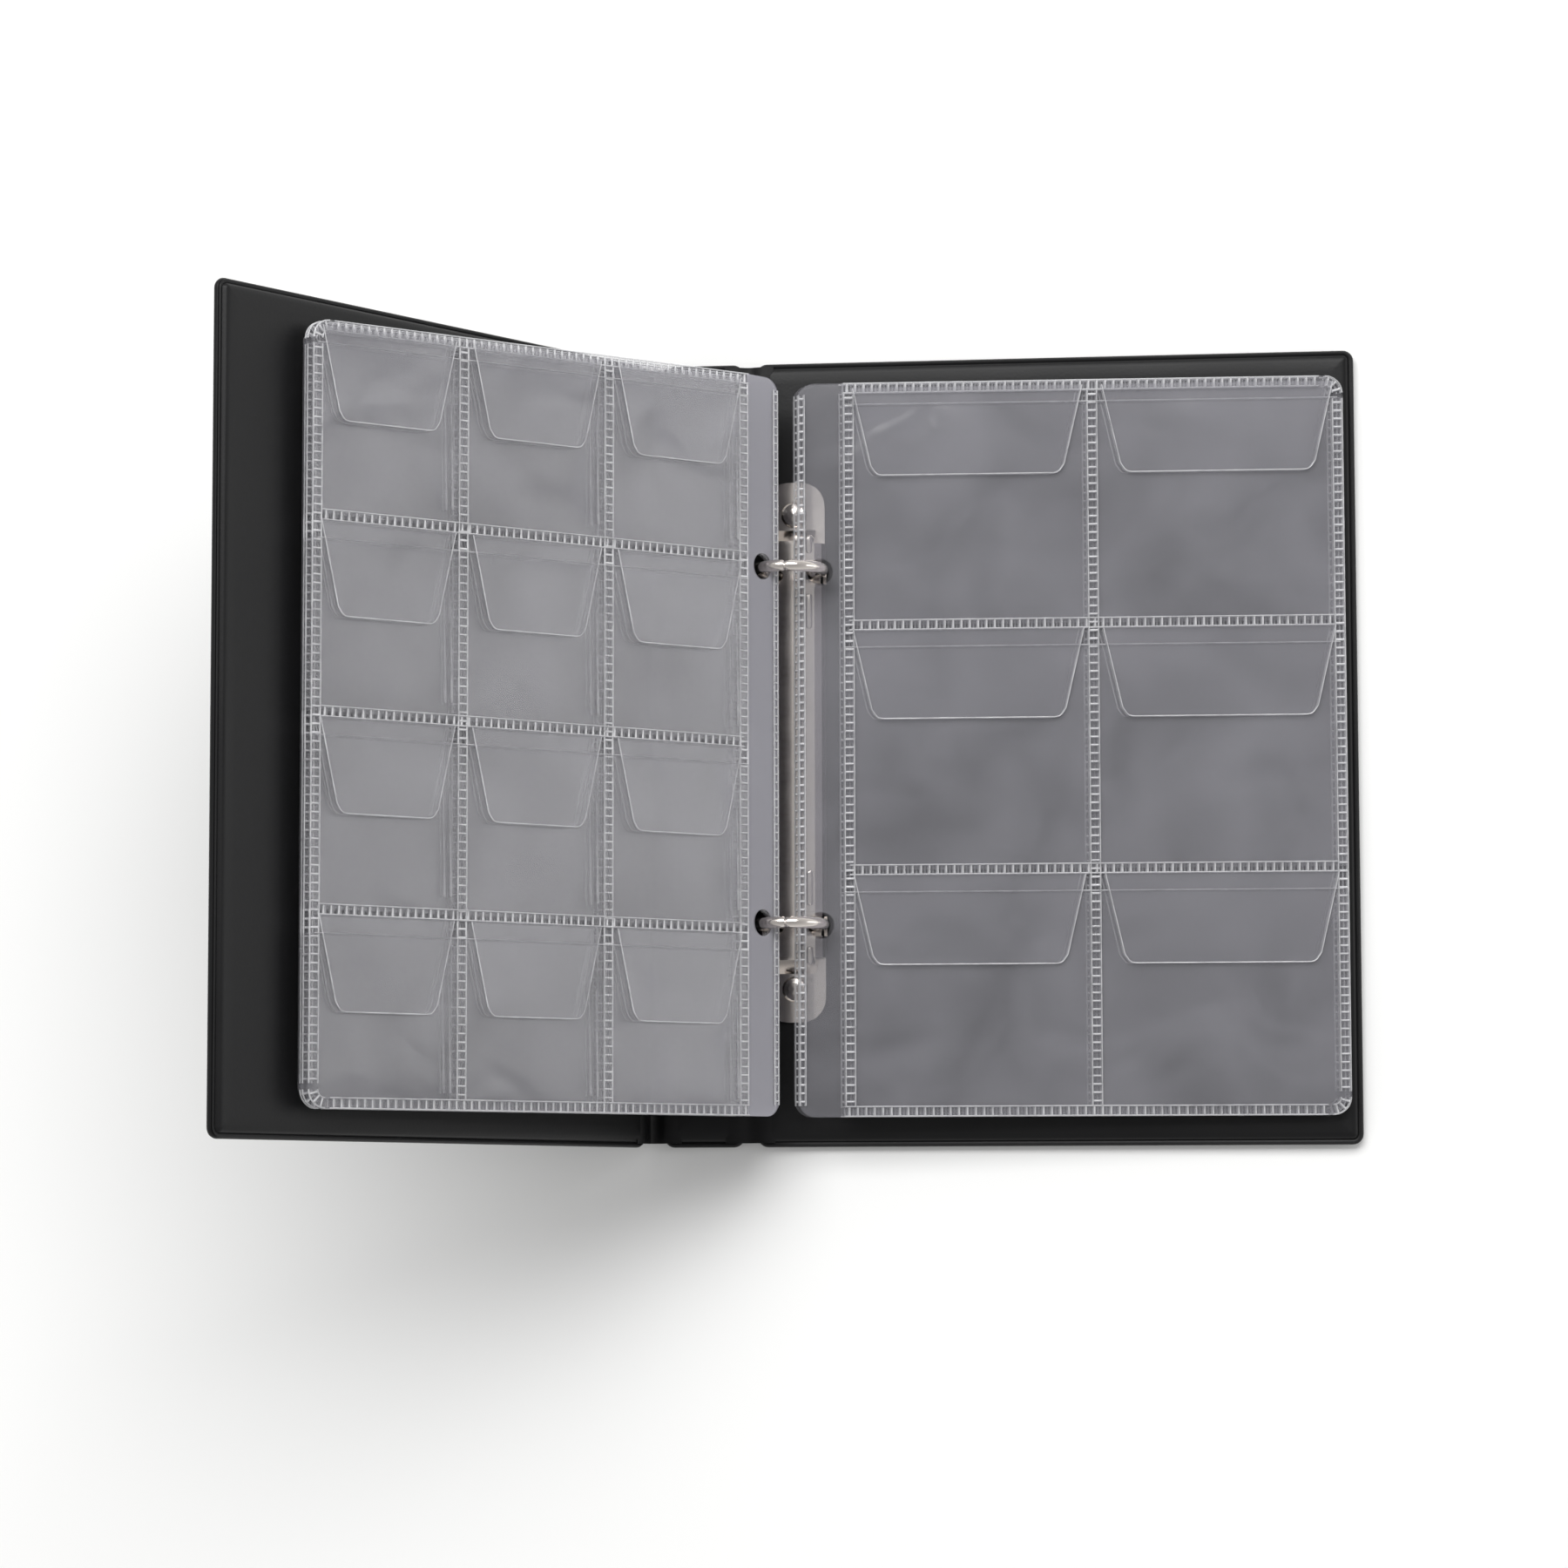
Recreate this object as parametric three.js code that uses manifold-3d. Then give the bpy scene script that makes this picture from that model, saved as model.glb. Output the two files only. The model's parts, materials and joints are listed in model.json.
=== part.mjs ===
// Two-ring coin album, lying open on its back cover, in millimetres, +Z up.
// Origin: centre of the back cover's outer face, which rests on the table. +X runs towards the
// open edge of the back cover, +Y towards the top of the sheets.
// The model is drawn with x = 0 on the back hinge and shifted at the end.
import * as THREE from "three";
import { mergeVertices } from "three/addons/utils/BufferGeometryUtils.js";
import Module from "manifold-3d";

const wasm = await Module();
wasm.setup();

// ---- driving dimensions ----
const RAD = Math.PI / 180;
const GAP = 0.3; // left between pieces that touch

const COVER_HEIGHT = 178.9; // along Y
const COVER_WIDTH = 137.3; // back hinge to open edge
const HINGE_TO_HINGE = 21.3;
const HINGE_HALF = 1.5; // half of the groove between two stiff panels
const HINGE_END = 1; // the hinge vinyl stops this far short of the panels' ends
const WEB = { low: -0.55, high: -0.05 }; // hinge vinyl, below the inner faces
const CORNER_R = 2.4;
const SKIN = 0.5; // vinyl sheet, outside and inside
const BOARD = 1.6; // greyboard
const EDGE_WALL = 1.2; // width of the welded vinyl border
const INSIDE_R = 0.4; // smallest corner radius inside that border
const FACE_Z = 2 * SKIN + BOARD + 2 * GAP; // inner face of a panel lying on the table
const FRONT_LIFT = 57.6; // degrees the front cover stands up from the table

const RING_X = 10.4;
const RING_RISE = 11.3; // ring centre above the inner face
const RING_R = 7.6; // centre line of the wire
const WIRE_R = 1.3;
const RING_SPACING = 80;
const RING_SEAM = 1.2; // degrees from the crown to the end of each half
const RING_FOOT_ANGLE = -50; // where the round part ends and the foot begins
const RING_FOOT_X = 3.6;

const RING_SIDES = 10; // sides of the wire's section
const RING_STEPS = 18; // steps along each half ring

const BLADE = { outer: 6.2, inner: 0.25, low: 1.9, high: 2.6, length: 91 };
const HOUSING = {
  half: 7.4, rise: 5.35, wall: 0.7, low: 0.1, length: 94, lap: 0.8,
  ramp: 3.5, rampHalf: 5, shoulder: 0.6, shoulderRise: 4.6,
  lugThick: 0.8, lugEnd: 61.5, lugHalf: 7, lugTipR: 5.5,
};
const NOTCH = { inner: 1.9, outer: 9.9, halfWidth: 2.2, low: 1.5, high: 7.5 };
const RIVET = { y: 54, shank: 1.5, hole: 1.8, head: 3.4, recess: 3.9, headLow: 0.15, dome: 1 };

const SHEET_WIDTH = 123;
const SHEET_HEIGHT = 166;
const SHEET_R = 4;
const MARGIN = 10.5; // punched strip between the gutter edge and the first pocket
const HOLE_R = 3;
const HOLE_X = 5.2; // gutter edge to hole centre
const BACK_FILM = 0.25;
const FRONT_FILM = 0.2;
const WELD = 1.3; // half width of a weld
const MOUTH = 5; // from the weld above a pocket down to the pocket's open edge
const FOLD_GAP = 0.3; // either side of the margin fold

const FLAP = { depth: 20, topInset: 2.2, tipInset: 6.8, tipR: 2 };

// Left sheets, from the top of the pile: angle of the margin and of the pocket panel, in degrees
// from +X. Right sheets, from the top: height of the hole and its distance from the ring axis.
const LEFT_SHEETS = [
  { margin: 125, panel: 137.0 },
  { margin: 135, panel: 136.8 },
  { margin: 145, panel: 136.2 },
];
const LEFT_HOLE_R = RING_R + 0.9; // ring centre to hole centre
const RIGHT_SHEETS = [
  { z: 7.9, hole: 6.75 },
  { z: 6.9, hole: 6.4 },
  { z: 5.9, hole: 5.5 },
];
const RIGHT_SLOPE = 2.48; // degrees down towards the open edge
const RIGHT_ROWS = 3;
const RIGHT_COLUMNS = 2;
const LEFT_ROWS = 4;
const LEFT_COLUMNS = 3;

// ---- finishes ----
const finish = (color, roughness, metalness, opacity = 1) => () =>
  new THREE.MeshStandardMaterial({ color, roughness, metalness, opacity, transparent: opacity < 1 });
const vinyl = finish(0x1c1c1d, 0.45, 0);
const liner = finish(0x202021, 0.5, 0);
const greyboard = finish(0x8c857a, 0.9, 0);
const nickel = finish(0xc9c6c4, 0.2, 1);
const clearFilm = finish(0xa9a9ae, 0.12, 0, 0.45);

// ---- helpers ----
function meshOf(name, geometry, material) {
  const mesh = new THREE.Mesh(geometry, material());
  mesh.name = name;
  return mesh;
}

function toSolid(geometry) {
  const bare = geometry.clone();
  bare.deleteAttribute("normal");
  bare.deleteAttribute("uv");
  const merged = mergeVertices(bare, 1e-4);
  return new wasm.Manifold(new wasm.Mesh({
    numProp: 3,
    vertProperties: new Float32Array(merged.attributes.position.array),
    triVerts: new Uint32Array(merged.index.array),
  }));
}

function fromSolid(solid) {
  const { vertProperties, triVerts } = solid.getMesh();
  const geometry = new THREE.BufferGeometry();
  geometry.setAttribute("position", new THREE.BufferAttribute(vertProperties, 3));
  geometry.setIndex(new THREE.BufferAttribute(triVerts, 1));
  geometry.computeVertexNormals();
  return geometry;
}

// Rectangle outline; radii are for the corners in the order low-low, high-low, high-high, low-high.
function rectangle(x0, x1, y0, y1, radii = [0, 0, 0, 0]) {
  const corners = [[x0, y0, 180], [x1, y0, 270], [x1, y1, 0], [x0, y1, 90]];
  const points = [];
  corners.forEach(([x, y, start], i) => {
    const r = radii[i];
    const cx = x + (x === x0 ? r : -r);
    const cy = y + (y === y0 ? r : -r);
    const steps = r ? 5 : 0;
    for (let k = 0; k <= steps; k += 1) {
      const a = (start + (steps ? (90 * k) / steps : 0)) * RAD;
      points.push(new THREE.Vector2(cx + r * Math.cos(a), cy + r * Math.sin(a)));
    }
  });
  return points;
}

function circle(x, y, r, sides = 14) {
  return Array.from({ length: sides }, (_, i) => {
    const a = (2 * Math.PI * i) / sides;
    return new THREE.Vector2(x + r * Math.cos(a), y + r * Math.sin(a));
  });
}

// Flat plate of an outline between two heights, with holes.
function plate(outline, low, high, holes = []) {
  const shape = new THREE.Shape(outline);
  shape.holes = holes.map((points) => new THREE.Path(points));
  const geometry = new THREE.ExtrudeGeometry(shape, { depth: high - low, bevelEnabled: false });
  return geometry.translate(0, 0, low);
}

// Outline in the XZ plane extruded along Y between two ends.
function barAlongY(outlineXZ, y0, y1) {
  const shape = new THREE.Shape(outlineXZ.map(([x, z]) => new THREE.Vector2(x, z)));
  const geometry = new THREE.ExtrudeGeometry(shape, { depth: y1 - y0, bevelEnabled: false });
  return geometry.rotateX(Math.PI / 2).translate(0, y1, 0);
}

// ---- cover: three stiff panels, each a welded vinyl envelope round a board ----
const HALF_H = COVER_HEIGHT / 2;

function panel(group, name, x0, x1, rivets = []) {
  const r = CORNER_R;
  const inset = EDGE_WALL + GAP;
  const holes = (radius) => rivets.map(([x, y]) => circle(x, y, radius));
  const inside = (d) => {
    const radii = Array(4).fill(Math.max(r - d, INSIDE_R));
    return rectangle(x0 + d, x1 - d, -HALF_H + d, HALF_H - d, radii);
  };
  const block = toSolid(plate(inside(0), 0, FACE_Z, holes(RIVET.recess)));
  const hollow = toSolid(plate(inside(EDGE_WALL), SKIN, FACE_Z + 1));
  const board = plate(inside(inset), SKIN + GAP, SKIN + GAP + BOARD, holes(RIVET.hole));
  const lining = plate(inside(inset), FACE_Z - SKIN, FACE_Z, holes(RIVET.hole));
  group.add(meshOf(`${name}_outer_skin`, fromSolid(block.subtract(hollow)), vinyl));
  group.add(meshOf(`${name}_board`, board, greyboard));
  group.add(meshOf(`${name}_lining`, lining, liner));
}

// Thin vinyl web that folds between two panels, centred on the groove between them.
function hingeWeb(name) {
  const half = HINGE_HALF - GAP;
  const end = HALF_H - HINGE_END;
  return meshOf(name, plate(rectangle(-half, half, -end, end), WEB.low, WEB.high), vinyl);
}

// ---- ring mechanism ----
class HalfRing extends THREE.Curve {
  constructor(side) {
    super();
    this.side = side;
    this.round = (90 - RING_SEAM - RING_FOOT_ANGLE) * RAD * RING_R;
    const a = RING_FOOT_ANGLE * RAD;
    this.knee = new THREE.Vector2(RING_R * Math.cos(a), RING_RISE + RING_R * Math.sin(a));
    const run = (this.knee.x - RING_FOOT_X) / Math.cos((90 + RING_FOOT_ANGLE) * RAD);
    const drop = run * Math.sin((90 + RING_FOOT_ANGLE) * RAD);
    this.bend = new THREE.Vector2(RING_FOOT_X, this.knee.y - drop);
    this.foot = new THREE.Vector2(RING_FOOT_X, BLADE.high + GAP);
    this.total = this.round + this.knee.distanceTo(this.foot);
  }

  getPoint(t, target = new THREE.Vector3()) {
    const s = t * this.total;
    if (s <= this.round) {
      const a = (90 - RING_SEAM) * RAD - s / RING_R;
      return target.set(this.side * RING_R * Math.cos(a), 0, RING_RISE + RING_R * Math.sin(a));
    }
    const u = Math.min(1, (s - this.round) / (this.total - this.round));
    const [p, q, w] = [(1 - u) * (1 - u), 2 * u * (1 - u), u * u];
    const x = p * this.knee.x + q * this.bend.x + w * this.foot.x;
    const z = p * this.knee.y + q * this.bend.y + w * this.foot.y;
    return target.set(this.side * x, 0, z);
  }
}

function halfRing(name, side, y) {
  const section = new THREE.Shape(circle(0, 0, WIRE_R, RING_SIDES));
  const geometry = new THREE.ExtrudeGeometry(section, { steps: RING_STEPS, extrudePath: new HalfRing(side) });
  return meshOf(name, geometry.translate(0, y, 0), nickel);
}

function blade(name, side) {
  const x = [side * BLADE.outer, side * BLADE.inner].sort((a, b) => a - b);
  const outline = rectangle(x[0], x[1], -BLADE.length / 2, BLADE.length / 2);
  return meshOf(name, plate(outline, BLADE.low, BLADE.high), nickel);
}

// Half of the arch's section, from the springing to the crown, as shares of its half width and rise.
const ARCH = [[1, 0.49], [0.89, 0.73], [0.68, 0.9], [0.35, 0.98], [0, 1]];

function archSection(halfWidth, rise) {
  const right = [[halfWidth, HOUSING.low], ...ARCH.map(([x, z]) => [x * halfWidth, z * rise])];
  const left = right.slice(0, -1).reverse().map(([x, z]) => [-x, z]);
  return [...right, ...left];
}

// Sloping end of the arch, which closes it down to the lug.
function housingRamp(end) {
  const { low, length, lap, ramp, rampHalf, shoulder, shoulderRise, lugThick } = HOUSING;
  const start = length / 2 - lap;
  const foot = length / 2 + ramp;
  const side = [[start, low], [foot, low], [foot, low + lugThick], [length / 2 + shoulder, shoulderRise],
    [start, shoulderRise]];
  const shape = new THREE.Shape(side.map(([y, z]) => new THREE.Vector2(end * y, z)));
  const body = new THREE.ExtrudeGeometry(shape, { depth: 2 * rampHalf, bevelEnabled: false });
  return toSolid(body.rotateX(Math.PI / 2).rotateZ(Math.PI / 2).translate(-rampHalf, 0, 0));
}

// Flat rounded lug with its rivet hole.
function housingLug(end) {
  const { low, length, lap, lugThick, lugEnd, lugHalf, lugTipR } = HOUSING;
  const [near, far] = [end * (length / 2 - lap), end * lugEnd].sort((a, b) => a - b);
  const radii = end > 0 ? [0, 0, lugTipR, lugTipR] : [lugTipR, lugTipR, 0, 0];
  const hole = circle(0, end * RIVET.y, RIVET.hole);
  return toSolid(plate(rectangle(-lugHalf, lugHalf, near, far, radii), low, low + lugThick, [hole]));
}

// Sprung steel cover plate: an arch open below, closed by a ramp and a riveted lug at each end,
// and notched where the rings come through.
function housing() {
  const { half, rise, wall, length } = HOUSING;
  const section = [...archSection(half, rise), ...archSection(half - wall, rise - wall).reverse()];
  let solid = toSolid(barAlongY(section, -length / 2, length / 2));
  for (const end of [-1, 1]) {
    solid = solid.add(housingRamp(end)).add(housingLug(end));
  }
  for (const side of [-1, 1]) {
    for (const y of [-RING_SPACING / 2, RING_SPACING / 2]) {
      const [x0, x1] = [side * NOTCH.inner, side * NOTCH.outer].sort((a, b) => a - b);
      const outline = rectangle(x0, x1, y - NOTCH.halfWidth, y + NOTCH.halfWidth);
      solid = solid.subtract(toSolid(plate(outline, NOTCH.low, NOTCH.high)));
    }
  }
  return meshOf("ring_housing", fromSolid(solid), nickel);
}

// Turned rivet through the lug, the lining and the board, its lower head sunk in the outer skin.
function rivet(name, y) {
  const { shank, head, headLow, dome } = RIVET;
  const top = FACE_Z + HOUSING.low + HOUSING.lugThick + GAP;
  const profile = [[0, headLow], [head, headLow], [head, SKIN], [shank, SKIN], [shank, top],
    [0.88 * head, top], [0.76 * head, top + 0.6 * dome], [0.41 * head, top + 0.9 * dome], [0, top + dome]];
  const geometry = new THREE.LatheGeometry(profile.map(([r, z]) => new THREE.Vector2(r, z)), 20);
  return meshOf(name, geometry.rotateX(Math.PI / 2).translate(RING_X, y, 0), nickel);
}

// ---- pocket sheets ----
// A sheet is drawn flat with its gutter edge on x = 0, running towards side * x, pockets up.
const HALF_S = SHEET_HEIGHT / 2;
const FILM_LOW = -(BACK_FILM + FRONT_FILM + GAP) / 2;

function sided(side, points) {
  const turned = points.map((p) => new THREE.Vector2(side * p.x, p.y));
  return side < 0 ? turned.reverse() : turned;
}

const punchedHoles = (side) =>
  [-1, 1].map((end) => sided(side, circle(HOLE_X, (end * RING_SPACING) / 2, HOLE_R)));

// Front film of the pockets, welded round every pocket, with one mouth cut below each upper weld.
function pocketFilm(side, columns, rows) {
  const pitchX = (SHEET_WIDTH - MARGIN) / columns;
  const pitchY = SHEET_HEIGHT / rows;
  const low = FILM_LOW + BACK_FILM + GAP;
  const outline = rectangle(MARGIN + FOLD_GAP, SHEET_WIDTH, -HALF_S, HALF_S, [0, SHEET_R, SHEET_R, 0]);
  let film = toSolid(plate(sided(side, outline), low, low + FRONT_FILM));
  for (let row = 0; row < rows; row += 1) {
    const top = HALF_S - row * pitchY;
    for (let column = 0; column < columns; column += 1) {
      const x = MARGIN + column * pitchX;
      const mouth = rectangle(x + WELD, x + pitchX - WELD, top - MOUTH, top - WELD);
      film = film.subtract(toSolid(plate(sided(side, mouth), low - 1, low + 1)));
    }
  }
  return fromSolid(film);
}

function backFilm(side, x0, radii, holes) {
  const outline = sided(side, rectangle(x0, SHEET_WIDTH, -HALF_S, HALF_S, radii));
  return plate(outline, FILM_LOW, FILM_LOW + BACK_FILM, holes);
}

// Trapezoid flap hanging from the weld above a pocket, laid over the pocket's mouth.
function flap(name, column, row, columns, rows) {
  const pitchX = (SHEET_WIDTH - MARGIN) / columns;
  const x0 = MARGIN + column * pitchX;
  const y0 = HALF_S - (row * SHEET_HEIGHT) / rows - WELD;
  const { depth, topInset, tipInset, tipR } = FLAP;
  const half = [[topInset, 0], [tipInset - tipR / 2, -depth + tipR], [tipInset + tipR, -depth]];
  const left = half.map(([x, y]) => new THREE.Vector2(x0 + x, y0 + y));
  const right = half.reverse().map(([x, y]) => new THREE.Vector2(x0 + pitchX - x, y0 + y));
  const low = FILM_LOW + BACK_FILM + FRONT_FILM + 2 * GAP;
  return meshOf(name, plate([...left, ...right], low, low + FRONT_FILM), clearFilm);
}

function leftSheet(number, { margin, panel: panelAngle }) {
  const sheet = new THREE.Group();
  const name = `left_sheet_${number}`;
  const gutter = LEFT_HOLE_R - HOLE_X;
  const strip = new THREE.Group();
  strip.position.set(RING_X, 0, FACE_Z + RING_RISE);
  strip.rotation.y = (180 - margin) * RAD;
  const stripOutline = rectangle(0, MARGIN - FOLD_GAP, -HALF_S, HALF_S, [SHEET_R, 0, 0, SHEET_R]);
  const stripFilm = plate(sided(-1, stripOutline), -BACK_FILM, BACK_FILM / 2, punchedHoles(-1));
  strip.add(meshOf(`${name}_margin`, stripFilm.translate(-gutter, 0, 0), clearFilm));
  const pockets = new THREE.Group();
  const fold = gutter + MARGIN;
  pockets.position.set(fold * Math.cos(margin * RAD), 0, fold * Math.sin(margin * RAD)).add(strip.position);
  pockets.rotation.y = (180 - panelAngle) * RAD;
  const back = backFilm(-1, MARGIN + FOLD_GAP, [0, SHEET_R, SHEET_R, 0], []);
  pockets.add(meshOf(`${name}_back_film`, back.translate(MARGIN, 0, 0), clearFilm));
  const front = pocketFilm(-1, LEFT_COLUMNS, LEFT_ROWS);
  pockets.add(meshOf(`${name}_pocket_film`, front.translate(MARGIN, 0, 0), clearFilm));
  sheet.add(strip, pockets);
  return sheet;
}

function rightSheet(number, { z, hole }) {
  const sheet = new THREE.Group();
  const name = `right_sheet_${number}`;
  sheet.position.set(RING_X + hole, 0, FACE_Z + z);
  sheet.rotation.y = RIGHT_SLOPE * RAD;
  const film = new THREE.Group();
  film.position.x = -HOLE_X;
  const back = backFilm(1, 0, Array(4).fill(SHEET_R), punchedHoles(1));
  film.add(meshOf(`${name}_back_film`, back, clearFilm));
  film.add(meshOf(`${name}_pocket_film`, pocketFilm(1, RIGHT_COLUMNS, RIGHT_ROWS), clearFilm));
  if (number === 1) {
    for (let row = 0; row < RIGHT_ROWS; row += 1) {
      for (const [column, hand] of ["left", "right"].entries()) {
        film.add(flap(`flap_row_${row + 1}_${hand}`, column, row, RIGHT_COLUMNS, RIGHT_ROWS));
      }
    }
  }
  sheet.add(film);
  return sheet;
}

// ---- assembly ----
const album = new THREE.Group();
album.position.x = -(COVER_WIDTH + HINGE_HALF) / 2;

const rivetPlaces = [[RING_X, -RIVET.y], [RING_X, RIVET.y]];
panel(album, "back_cover", HINGE_HALF, COVER_WIDTH, rivetPlaces);
panel(album, "spine", -HINGE_TO_HINGE + HINGE_HALF, -HINGE_HALF);

const backWeb = hingeWeb("back_hinge_web");
backWeb.position.z = FACE_Z;
const frontWeb = hingeWeb("front_hinge_web");
frontWeb.position.set(-HINGE_TO_HINGE, 0, FACE_Z);
album.add(backWeb, frontWeb);

// The front cover turns about the edge of its own inner face.
const frontCover = new THREE.Group();
frontCover.position.set(-HINGE_TO_HINGE - HINGE_HALF, 0, FACE_Z);
frontCover.rotation.y = FRONT_LIFT * RAD;
const frontPanel = new THREE.Group();
frontPanel.position.z = -FACE_Z;
panel(frontPanel, "front_cover", HINGE_HALF - COVER_WIDTH, 0);
frontCover.add(frontPanel);
album.add(frontCover);

const mechanism = new THREE.Group();
mechanism.position.set(RING_X, 0, FACE_Z);
mechanism.add(housing());
for (const [hand, side] of [["left", -1], ["right", 1]]) {
  mechanism.add(blade(`${hand}_blade`, side));
  mechanism.add(halfRing(`${hand}_half_ring_upper`, side, RING_SPACING / 2));
  mechanism.add(halfRing(`${hand}_half_ring_lower`, side, -RING_SPACING / 2));
}
album.add(mechanism, rivet("rivet_upper", RIVET.y), rivet("rivet_lower", -RIVET.y));

LEFT_SHEETS.forEach((place, i) => album.add(leftSheet(i + 1, place)));
RIGHT_SHEETS.forEach((place, i) => album.add(rightSheet(i + 1, place)));

const root = new THREE.Group();
root.add(album);
export default root;
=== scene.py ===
"""An open two-ring coin album: padded vinyl covers, a riveted ring mechanism and welded pocket pages.

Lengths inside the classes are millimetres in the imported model's frame; `Draft.build` turns them to metres.
"""
import json
import logging
import math
from collections.abc import Callable, Iterable, Sequence
from dataclasses import dataclass
from enum import Enum

import bmesh
import bpy
from mathutils import Matrix, Vector


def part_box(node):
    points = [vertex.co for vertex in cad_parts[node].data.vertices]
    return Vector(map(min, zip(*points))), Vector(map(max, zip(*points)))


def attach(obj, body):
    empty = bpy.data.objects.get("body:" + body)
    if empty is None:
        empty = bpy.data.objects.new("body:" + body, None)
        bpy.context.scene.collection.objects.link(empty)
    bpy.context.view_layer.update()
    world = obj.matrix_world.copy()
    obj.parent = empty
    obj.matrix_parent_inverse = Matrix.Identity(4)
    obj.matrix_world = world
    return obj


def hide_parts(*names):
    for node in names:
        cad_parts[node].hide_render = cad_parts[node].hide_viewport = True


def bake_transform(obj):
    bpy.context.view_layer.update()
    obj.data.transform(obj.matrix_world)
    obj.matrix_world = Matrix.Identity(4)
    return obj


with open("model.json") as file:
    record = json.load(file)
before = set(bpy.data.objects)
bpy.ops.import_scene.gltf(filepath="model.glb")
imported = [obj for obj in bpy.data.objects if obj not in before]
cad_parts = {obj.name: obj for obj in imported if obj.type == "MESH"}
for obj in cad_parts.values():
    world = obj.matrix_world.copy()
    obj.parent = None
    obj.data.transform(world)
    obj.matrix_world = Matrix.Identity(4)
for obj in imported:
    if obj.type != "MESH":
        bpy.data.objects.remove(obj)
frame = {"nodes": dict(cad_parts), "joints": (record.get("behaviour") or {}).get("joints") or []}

Point = tuple[float, float, float]
Place = Callable[[float, float, float], Point]
MM = 0.001  # metres in a millimetre
SAME_PLACE = 1e-6  # mm, under which two points are one
COLOUR_A, COLOUR_B, COLOUR_OUT = 6, 7, 2  # a colour Mix node's two colours and its result
SOFT_EDGE = 60.0  # degrees; on hinges and beads only sharper edges stay crisp
FILM_EDGE = 50.0  # the same for film
STEEL_EDGE = 35.0  # degrees; on packed steel only sharper edges are rounded
SPLIT_CORNER = 0.005  # mm; packed corners closer than this are joined before that
# (share of half the width, share of the height) across a bead's rounded top
BEAD = ((-1.0, 0.0), (-0.7, 0.75), (0.0, 1.0), (0.7, 0.75), (1.0, 0.0))
LOG = logging.getLogger("coin_album")


# ---- drawing ----
def stay(x: float, y: float, z: float) -> Point:
    """Leaves a point where it is drawn."""
    return (x, y, z)


def joint_centre(name: str) -> Vector:
    """Gives a joint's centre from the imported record, in millimetres.

    Args:
        name: the joint's name.

    Returns:
        Its centre.
    """
    found = next(j for j in frame["joints"] if j["name"] == name)
    return Vector(found["pos_m"]) / MM


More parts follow.
